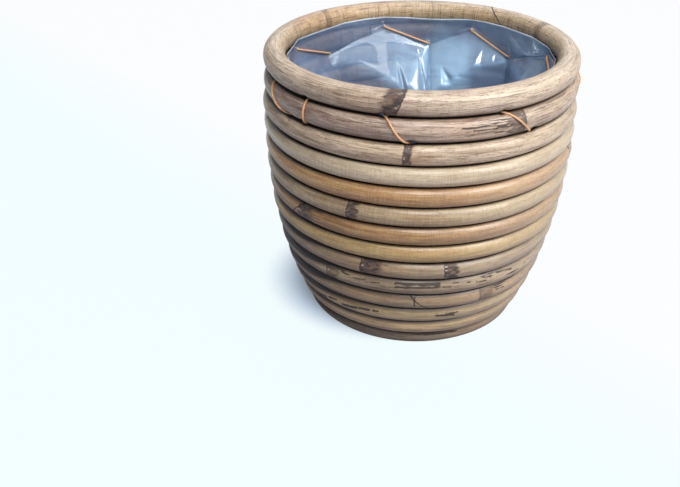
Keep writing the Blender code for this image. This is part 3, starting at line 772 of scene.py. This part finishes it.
def cane_finish(name, look):
    """A cane's own colour, with its marks over it and the painted shade between the canes over those."""
    material, shader, wire = new_finish(name)
    skin = cane_noises(wire)
    patch, line, tuft = node_marks(wire, skin)
    dash, scratch, speck, scuff, wrinkle = wear_marks(wire, look, skin)
    # The painted shade between canes, made a little ragged.
    shade = wire.field("painted_shade") + (skin.streak - 0.5) * 0.04 + (skin.fibre - 0.5) * 0.03
    seam = wire.field("seam").step(0.55 * MM, 0.2 * MM)

    blotch = skin.cane.noise(260, 420, 3).step(0.34, 0.52) * 0.40 + 0.58
    # Dark lines: the node rings, the joint, and the deepest painted shade between canes.
    dark = wire.math("MAXIMUM", wire.math("MAXIMUM", line * 0.85, seam), shade.step(0.83, 0.91))
    layers = [
        (scuff * 0.18, SCUFF_PALE),
        (wire.math("MAXIMUM", scratch, speck) * 0.7, STAIN_BROWN),
        (patch * blotch, skin.mottle.step(0.40, 0.60).mix(STAIN_DARK, STAIN_BROWN)),
        (dash * 0.9, STAIN_DARK),
        (wrinkle * 0.5, STAIN_BROWN),
        (tuft * 0.8, TUFT_PALE),
        # Painted shade in the crevices between canes.
        (shade.step(0.62, 0.92) * 0.85, CREVICE_SHADE_BROWN),
        (dark, DARK_LINE_AND_SHADE),
    ]
    colour = skin_colour(wire, look, skin)
    for share, paint in layers:
        colour = share.mix(colour, paint)

    height = skin.fibre * 0.5 + skin.streak * 0.3 + skin.ring * look.rings * 0.7 + tuft * 0.4
    height = height - line - dash * 0.8 - patch * skin.mottle * 0.8 - wrinkle * 0.5 - scratch * 0.3
    bump = wire.node("Bump", {"Strength": 0.45, "Distance": 0.15 * MM, "Height": height})
    worn = patch + dash + shade.step(0.8, 1.0)
    feed(shader, base_color=colour, roughness=0.46 + (skin.fibre - 0.5) * 0.2 + worn * 0.2, normal=bump)
    feed(shader, coat_weight=look.gloss, coat_roughness=0.24)
    return material


print("darkest mark:", DARK_LINE_AND_SHADE)

# %% Make the hoops
SLOTS = {part["node"]: part["material_slot"] for part in frame["record"]["subparts"]}


def make_hoop(index):
    """One finished hoop in place of the frame's plain one."""
    name = HOOP_NAMES[index]
    points, fields = hoop_grid(index)
    finish = cane_finish(f"{SLOTS[name]}_{index + 1:02d}", HOOP_LOOKS[index])
    piece = add_piece("cane_" + name, points, tube_faces(ALONG, AROUND), fields, finish)
    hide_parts(name)
    return piece


hoops = [make_hoop(index) for index in range(len(HOOP_NAMES))]
print("hoops made:", len(hoops))

# %% [markdown]
# ## The film bag
# A clear bag of thin film lines the planter. The thread holds it on a zigzag line, in the gap above the
# second hoop and in the gap below it by turns. Film can't stretch, so it hangs in straight facets: its free
# edge leans in above the zigzag, and below it the bag runs in like a funnel until it stands round a square
# room with soft corners, in which a plant's pot goes. From each stitch, and from a few places on the slope,
# folds open downwards like tents, inwards or out to the wall. The bag could also be dropped in with a cloth
# simulation, but then no fold would lie where it lies on the real bag.

# %% Where the film is held
HOLDS = np.concatenate([STITCH_TOPS, STITCH_FEET[1:]]) % math.tau
HOLD_LEVELS = np.repeat([UPPER_GAP, LOWER_GAP], [len(STITCH_TOPS), len(STITCH_FEET) - 1])


def inside_circle(angle, holds):
    """How far a straight line between neighbouring holds lies inside the circle, as a share of its radius.

    The line's distance from the middle is cos(half the turn between its ends) over cos(turn from its middle)
    times the radius."""
    ends = np.sort(holds)
    ends = np.concatenate([ends[-1:] - math.tau, ends, ends[:1] + math.tau])
    spot = np.searchsorted(ends, angle % math.tau, side="right")
    half = (ends[spot] - ends[spot - 1]) / 2
    from_middle = angle % math.tau - ends[spot - 1] - half
    return 1 - np.cos(half) / np.cos(from_middle)


print("film holds:", len(HOLDS))

# %% The film's folds
TENT_TIP, TENT_ROUND, TENT_POWER, TENT_FADE = 0.2 * MM, 0.15, 1.3, 0.55
DENT_SHRINK, DENT_CORE, DENT_RIM = 0.85, 0.75, 1.4

# A fold is (degrees round the planter and mm below the hold of its tip, mm sideways, mm to each side and mm
# inwards a mm down, mm long). A fold with a negative rise runs out towards the wall. A dent is a flat, long
# patch that is turned towards the light: (degrees round the planter, mm below the hold, its turn in
# degrees, half its length and half its width in mm, mm inwards a mm sideways and a mm down).
STITCH_FOLD = (0, 0.45, -0.1, 46)
FOLDS = [
    (85.9, 0.3, 0.02, 0.2, -0.12, 34), (91, 5, 0.3, 0.22, -0.22, 26), (78, 13, 0.8, 0.4, -0.3, 16),
    (103, 15, 0.3, 0.4, -0.22, 22), (58, 4, -0.1, 0.4, 0.12, 30), (150, 4, 0, 0.4, 0.14, 30),
    (172, 5, -0.2, 0.35, 0.28, 34), (24, 6, 0.1, 0.4, 0.26, 36), (5, 3, 0, 0.35, 0.26, 36),
    (-32, 5, 0.2, 0.4, 0.28, 36), (-72, 6, -0.2, 0.45, 0.3, 40), (-110, 4, 0.1, 0.4, 0.28, 36),
    (-150, 5, 0.2, 0.4, 0.26, 36),
]
DENTS = [
    (99, 14.5, -12, 6, 1.5, -0.05, -0.27),
    (51, 5.5, 0, 1.1, 1.3, 0.42, -0.05),
]


def fold_field(angle, depth):
    """How far the folds push the film in: each is a tent that opens, and rises or sinks, from its tip."""
    stitches = [(place, 0.0, *STITCH_FOLD) for place in np.degrees(STITCH_FEET[1:])]
    push = np.zeros_like(depth)
    for place, tip, side, spread, rise, length in FOLDS + stitches:
        down = np.clip(depth - tip * MM, 0, None)
        across = turn_between(angle, place) * HOOP_RADII[1] + side * down
        share = across / (spread * down + TENT_TIP)
        tent = np.clip(1 + TENT_ROUND - np.hypot(share, TENT_ROUND), 0, None) ** TENT_POWER
        push = push + rise * down * tent * smoothstep(length * MM, TENT_FADE * length * MM, down)
    return push


def dent_field(angle, depth):
    """How far the dents push the film in: each is a tilted plane, faded out past its long round outline."""
    push = np.zeros_like(depth)
    for place, deep, turn, long, wide, slant, fall in DENTS:
        sideways, down = turn_between(angle, place) * HOOP_RADII[1] * DENT_SHRINK, depth - deep * MM
        cos, sin = math.cos(math.radians(turn)), math.sin(math.radians(turn))
        along = (sideways * cos + down * sin) / (long * MM)
        across = (down * cos - sideways * sin) / (wide * MM)
        fade = smoothstep(DENT_RIM, DENT_CORE, np.hypot(along, across))
        push = push + (slant * sideways + fall * down) * fade
    return push


print("folds:", len(FOLDS) + len(STITCH_FEET) - 1, "dents:", len(DENTS))

# %% The room and the columns
COLUMN_STEP, FINE_STEP = math.radians(1.5), math.radians(0.5)
FINE_FROM, FINE_TO = math.radians(44), math.radians(109)
ROOM_HEIGHTS = np.array([15, 23, 50, 61]) * MM
ROOM_HALVES = np.array([34.0, 36.4, 40.0, 44.8]) * MM
ROOM_MARGIN, ROOM_CORNER = 1.0 * MM, 0.8
ROOM_SWING, ROOM_SWING_ANGLE = 5.0 * MM, math.radians(-60)


def film_room(angle, height):
    """How far out the bag stays: a square with soft corners, smaller lower down and swung to one side."""
    half = np.interp(height, ROOM_HEIGHTS, ROOM_HALVES)
    face = np.abs(np.cos(2 * angle)) ** ROOM_CORNER
    swing = ROOM_SWING * (1 + np.cos(angle - ROOM_SWING_ANGLE))
    return half * (math.sqrt(2) - (math.sqrt(2) - 1) * face) + ROOM_MARGIN + swing


def film_columns():
    """Angles of the bag's columns: one at each hold and even steps between, finer where the dents are."""
    ends = np.sort(HOLDS)
    after = np.append(ends[1:], ends[0] + math.tau)
    fine = (ends > FINE_FROM) & (after < FINE_TO)
    steps = np.maximum(np.round((after - ends) / np.where(fine, FINE_STEP, COLUMN_STEP)).astype(int), 1)
    return np.concatenate([np.linspace(*span, endpoint=False) for span in zip(ends, after, steps)])


FILM_COLUMNS = len(film_columns())
print("film columns:", FILM_COLUMNS)

# %% The film surface
EDGE_ROWS, WALL_ROWS, CORNER_ROWS, FLOOR_ROWS = 10, 104, 8, 8
FILM_ROWS = EDGE_ROWS + WALL_ROWS + CORNER_ROWS + FLOOR_ROWS
FILM_CLEARANCE = 0.9 * MM
FILM_EDGE = 139.6 * MM
EDGE_WAVE = 0.6 * MM
EDGE_LEAN = 0.85
EDGE_TOUCHES = [-174, -157, -132, -101, -80, -60, -40, -22, -2, 14, 30, 48, 58, 68, 97, 108, 119, 130, 164]
EDGE_TOUCHES = np.radians(EDGE_TOUCHES) % math.tau
FILM_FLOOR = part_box("floor_board")[1].z + 0.5 * MM
FILM_CORNER = 6.0 * MM
FLOOR_HUB = 0.4 * MM
FUNNEL_SLOPE, FUNNEL_BEND = 0.92, 2.0 * MM
EVEN_OUT, EVEN_DEPTH = 0.8, 16.0 * MM
ROOM_BEND = 3.5 * MM
ROWS_CROWD = 1.5
SLOPE_FROM, SLOPE_TO = 0.3 * MM, 2.0 * MM


def film_grid():
    """The bag's points, from its edge to the middle of its floor, and the fields that its finish reads.

    Radius and height are worked out for a whole grid at once: the edge, the wall below the zigzag, a rounded
    corner and the floor are blocks of rows that follow each other."""
    angle = film_columns()[None, :]
    hold = np.interp(angle, HOLDS, HOLD_LEVELS, period=math.tau)
    inside, edge_inside = inside_circle(angle, HOLDS), inside_circle(angle, EDGE_TOUCHES)
    edge = FILM_EDGE + EDGE_WAVE * slow_wave(angle, (3, 5, 8))
    inner = HOOP_RADII - HOOP_CANES - FILM_CLEARANCE

    part = np.linspace(0, 1, EDGE_ROWS, endpoint=False)[:, None]
    edge_heights = edge + (hold - edge) * part
    edge_radii = (inner[0] - HOOP_RADII[0] * EDGE_LEAN * edge_inside) * (1 - part)
    edge_radii = edge_radii + inner[1] * (1 - inside) * part

    part = np.linspace(0, 1, WALL_ROWS)[:, None] ** ROWS_CROWD
    low = FILM_FLOOR + FILM_CORNER
    wall_heights = hold + (low - hold) * part
    depth = hold - wall_heights
    around = np.broadcast_to(angle, depth.shape)
    wall = np.interp(wall_heights, HOOP_HEIGHTS[::-1], inner[::-1])
    run = depth + EVEN_OUT * ((UPPER_GAP + LOWER_GAP) / 2 - hold) * (1 - np.exp(-depth / EVEN_DEPTH))
    funnel = FUNNEL_SLOPE * (np.hypot(run, FUNNEL_BEND) - FUNNEL_BEND)
    free = wall - inner[1] * inside - funnel - fold_field(around, depth) - dent_field(around, depth)
    room = film_room(around, wall_heights)
    wall_radii = (free + room + np.hypot(free - room, ROOM_BEND)) / 2
    wall_radii = np.minimum(wall_radii, wall - inner[1] * inside * np.exp(-depth / FILM_CORNER))

    turn = np.linspace(0, math.pi / 2, CORNER_ROWS + 1)[1:, None]
    corner_radii = wall_radii[-1:] - FILM_CORNER * (1 - np.cos(turn))
    corner_heights = FILM_FLOOR + FILM_CORNER * (1 - np.sin(turn)) + 0 * angle
    part = np.linspace(1, 0, FLOOR_ROWS + 1)[1:, None]
    floor_radii = FLOOR_HUB + (corner_radii[-1:] - FLOOR_HUB) * part
    floor_heights = np.full_like(floor_radii, FILM_FLOOR)

    radii = np.concatenate([edge_radii, wall_radii, corner_radii, floor_radii])
    heights = np.concatenate([edge_heights, wall_heights, corner_heights, floor_heights])
    below_edge = np.broadcast_to(edge, heights.shape) - heights
    slope = np.zeros_like(heights)
    slope[:EDGE_ROWS] = 1
    slope[EDGE_ROWS:EDGE_ROWS + WALL_ROWS] = smoothstep(SLOPE_FROM, SLOPE_TO, free - room)
    fields = {"below_edge": below_edge.ravel(), "slope": slope.ravel()}
    return polar(radii, angle, heights).reshape(-1, 3), fields


print("film grid:", FILM_ROWS, "x", FILM_COLUMNS)

# %% Film finish
# The film's blue is a painted reflection of a cool sky.
FILM_SKY_REFLECTION = (0.22, 0.28, 0.45)
# The colour of the painted haze of reflected light round the glare.
FILM_HAZE_BLUE = (0.46, 0.70, 0.96)
FILM_SHEEN = (0.42, 0.78, 1.0)
# The painted glint along the film's cut edge.
PAINTED_EDGE_GLINT = (0.70, 0.78, 0.88)
FILM_ALPHA, HAZE_ALPHA, EDGE_GLINT_ALPHA = 0.37, 0.12, 0.20
# Where the painted haze lies, how far it reaches, and its core.
HAZE_PLACE, HAZE_REACH, HAZE_CORE = (0.007, 0.056, 0.115), 30 * MM, 2 * MM
SLICK_FROM, SLICK_TO = -16 * MM, 6 * MM
CLOUDY_FROM, CLOUDY_TO, CLOUDY_LEFT, CLOUDY_MORE = 0.0, 40 * MM, 0.05, 0.20
FILM_IOR, COAT_IOR = 2.0, 2.2


def film_finish():
    """Clear film: a veil painted a cool blue as a reflection of the sky, a soft sheen under a sharp gloss,
    and a painted white glint along its cut edge.

    It is dull on the left, slick and cloudier on the right, and has a painted haze of reflected light round
    the glare at the back."""
    material, shader, wire = new_finish("clear_film")
    # The painted glint: a white band along the cut edge.
    edge = wire.field("below_edge").step(0.9 * MM, 0.3 * MM)
    place = wire.place()
    side = place.dot((1, 0, 0))
    slick = side.step(SLICK_FROM, SLICK_TO)
    cloudy = side.step(CLOUDY_FROM, CLOUDY_TO) * CLOUDY_MORE + CLOUDY_LEFT
    smear = (place.noise(60, 25, 2) - 0.5) * (50 * MM)
    # A painted haze of reflected light round the glare, smeared by noise.
    painted_haze = (place.vector("DISTANCE", HAZE_PLACE) + smear).step(HAZE_REACH, HAZE_CORE)
    # The colour: painted sky blue, turning to the painted haze, and white along the painted edge glint.
    tint = edge.mix((painted_haze + cloudy * 1.2).mix(FILM_SKY_REFLECTION, FILM_HAZE_BLUE), PAINTED_EDGE_GLINT)
    feed(shader, base_color=tint, alpha=FILM_ALPHA + cloudy + painted_haze * HAZE_ALPHA + edge * EDGE_GLINT_ALPHA)
    gloss = (wire.field("slope") * 0.85 + 0.15) * (slick * 0.75 + 0.25)
    feed(shader, roughness=slick * -0.14 + 0.48, coat_weight=gloss, coat_roughness=0.04)
    crumple = abs(place.noise(75, 75, 1) - 0.5)
    crumple = crumple + abs(place.noise(40, 140, 1) - 0.5)
    bump = wire.node("Bump", {"Strength": 0.5, "Distance": 3.0 * MM, "Height": crumple})
    feed(shader, normal=bump, ior=FILM_IOR, coat_ior=COAT_IOR, specular_tint=FILM_SHEEN)
    return material


print("film lets through:", round(1 - FILM_ALPHA, 2))

# %% Make the film bag
FILM_THICKNESS = 0.2 * MM
film_faces = grid_quads(FILM_ROWS, FILM_COLUMNS)
film_faces.append(list(range((FILM_ROWS - 1) * FILM_COLUMNS, FILM_ROWS * FILM_COLUMNS)))
film_points, film_fields = film_grid()
film = add_piece("film_bag", film_points, film_faces, film_fields, film_finish())
film_area = sum(face.area for face in film.data.polygons)
wall = film.modifiers.new("film_wall", "SOLIDIFY")
wall.thickness = FILM_THICKNESS
wall.offset = 0.0
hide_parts("film_liner")
print("film points:", len(film_points), "area, square mm:", round(film_area / MM**2))

# %% [markdown]
# ## The thread
# One thread holds the bag. It winds round the second hoop: down the outside, in through the gap below and
# the film, slantwise up the inside, and out again through the gap above. A closer look shows three twisted
# plies. Three separate tubes would do, but one tube with a three-lobed section that turns as it goes is the
# same surface with no hidden faces.

# %% The thread's way
THREAD_RADIUS = 0.53 * MM
THREAD_REST = 0.30 * MM
STRAND_INSET, STRAND_POINTS = 2.4 * MM, 40
WAY_IN = np.array([0.40, 0.76, 1.0])
CORNER_LIFT = 0.8 * MM
FIRST_BOW = math.radians(1.8)
TAIL = 5.0 * MM
TAIL_SWING = math.radians(2.2)
HOLD_RADIUS, HOLD_HEIGHT, HOLD_CANE = HOOP_SIZES[1]
REACH = HOLD_CANE + THREAD_RADIUS + THREAD_REST


def outside_strand(top, foot, bow):
    """Half a turn round the second hoop's outside while the angle round the planter goes from top to foot."""
    part = np.linspace(0, 1, STRAND_POINTS)
    turn = math.pi / 2 - math.pi * part
    angle = top + (foot - top) * part + bow * np.sin(math.pi * part)
    return polar(HOLD_RADIUS + REACH * np.cos(turn), angle, HOLD_HEIGHT + REACH * np.sin(turn))


def way_in(angle, side):
    """Three points from the gap above (side 1) or below (side -1) through the film to the strand's corner."""
    inset = (HOLD_CANE + STRAND_INSET) * WAY_IN
    level = HOLD_HEIGHT + side * (REACH - np.array([0, 0, CORNER_LIFT]))
    return polar(HOLD_RADIUS - inset, np.full(3, angle), level)


def thread_route():
    """The corners of the thread's way, from its first tail to its last."""
    drop = np.array([0, 0, TAIL])
    start = way_in(STITCH_TOPS[0], 1)[::-1]
    pieces = [start[:1] - drop, start]
    for k, (top, foot) in enumerate(zip(STITCH_TOPS, STITCH_FEET)):
        pieces += [outside_strand(top, foot, FIRST_BOW if k == 0 else 0.0), way_in(foot, -1)]
        if k + 1 < len(STITCH_TOPS):
            pieces.append(way_in(STITCH_TOPS[k + 1], 1)[::-1])
    end = STITCH_FEET[-1]
    corner = pieces[-1][-1]
    tail = polar(np.hypot(corner[0], corner[1]), np.array([end + TAIL_SWING * 2]), corner[2] + TAIL)
    return np.concatenate(pieces + [tail])


def even_route(corners, step, soften):
    """The way at even steps, with its corners rounded by a running mean."""
    walked = np.concatenate([[0], np.cumsum(np.linalg.norm(np.diff(corners, axis=0), axis=1))])
    even = np.linspace(0, walked[-1], int(walked[-1] / step))
    points = np.stack([np.interp(even, walked, corners[:, axis]) for axis in range(3)], axis=-1)
    window = np.hanning(2 * soften + 3)[1:-1]
    window = window / window.sum()
    padded = np.concatenate([np.repeat(points[:1], soften, 0), points, np.repeat(points[-1:], soften, 0)])
    return np.stack([np.convolve(padded[:, axis], window, "valid") for axis in range(3)], axis=-1)


print("thread way, points:", len(thread_route()))

# %% Make the thread
THREAD_STEP, THREAD_SOFTEN = 0.25 * MM, 3
THREAD_SIDES = 16
PLY_PITCH, PLY_DEPTH = 3.0 * MM, 0.13
THREAD_GROOVE_SHADE, THREAD_BRIGHT = (0.50, 0.20, 0.08), (0.92, 0.56, 0.31)


def unit(vectors):
    """Vectors of length 1 in the same directions."""
    return vectors / np.linalg.norm(vectors, axis=1, keepdims=True)


def thread_grid():
    """A three-lobed section carried along the thread's way, turning once every ply pitch.

    The section's first axis points away from the second hoop's middle line, and its second axis is square to
    that and to the way."""
    path = even_route(thread_route(), THREAD_STEP, THREAD_SOFTEN)
    along = unit(np.gradient(path, axis=0))
    angle = np.arctan2(path[:, 1], path[:, 0])
    away = path - polar(np.full(len(path), HOLD_RADIUS), angle, HOLD_HEIGHT)
    away = unit(away - np.sum(away * along, axis=1, keepdims=True) * along)
    side = np.cross(away, along)
    round_it = np.linspace(0, math.tau, THREAD_SIDES, endpoint=False)[None, :, None]
    twist = (np.arange(len(path)) * THREAD_STEP * math.tau / PLY_PITCH)[:, None, None]
    groove = np.cos(3 * (round_it - twist))
    reach = THREAD_RADIUS * (1 + PLY_DEPTH * (groove - 0.5))
    points = path[:, None] + reach * (np.cos(round_it) * away[:, None] + np.sin(round_it) * side[:, None])
    return points, groove


def thread_finish():
    """Copper-orange glazed thread, with painted shade in the grooves between its plies."""
    material, shader, wire = new_finish("thread")
    # Painted shade: darker in the grooves between the plies.
    colour = wire.field("ply").step(-1.0, 0.4).mix(THREAD_GROOVE_SHADE, THREAD_BRIGHT)
    feed(shader, base_color=colour, roughness=0.28)
    return material


thread_points, thread_groove = thread_grid()
thread_rows = len(thread_points)
thread_faces = tube_faces(thread_rows, THREAD_SIDES)
thread_fields = {"ply": thread_groove.ravel()}
thread = add_piece("wound_thread", thread_points.reshape(-1, 3), thread_faces, thread_fields, thread_finish())
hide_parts("lashing_thread")
print("thread, mm long:", round(thread_rows * THREAD_STEP / MM))

# %% [markdown]
# ## The floor board and the brads
# These keep the shapes they have in the frame. The board is plywood: its faces show long grain, and its
# edge shows the layers. The brads are plain drawn wire.

# %% Plywood and steel
PLY_PALE, PLY_DEEP = (0.66, 0.50, 0.32), (0.42, 0.28, 0.15)
PLY_LAYER = 1.33 * MM
STEEL_BRIGHT, STEEL_DULL = (0.42, 0.41, 0.40), (0.26, 0.22, 0.19)


def plywood_finish():
    """Long grain along one way, and darker layers at fixed heights on the edge."""
    material, shader, wire = new_finish("plywood")
    place = wire.place()
    grain = place.noise(18, 260, 4)
    layer = wire.math("SINE", place.dot((0.0, 0.0, math.tau / PLY_LAYER))).step(-0.3, 0.3)
    depth = grain.step(0.35, 0.68) * 0.7 + layer * 0.3
    feed(shader, base_color=depth.mix(PLY_PALE, PLY_DEEP), roughness=0.65)
    return material


def steel_finish():
    """Drawn wire: grey metal with a little tarnish."""
    material, shader, wire = new_finish("brad_steel")
    tarnish = wire.place().noise(900, 900, 2)
    feed(shader, base_color=tarnish.step(0.4, 0.7).mix(STEEL_BRIGHT, STEEL_DULL))
    feed(shader, metallic=1.0, roughness=0.30 + tarnish * 0.3)
    return material


kept_finishes = {"plywood": plywood_finish(), "brad_steel": steel_finish()}
kept = [name for name, slot in SLOTS.items() if slot in kept_finishes]
for name in kept:
    frame["nodes"][name].material_slots[0].material = kept_finishes[SLOTS[name]]
print("frame pieces kept:", len(kept))
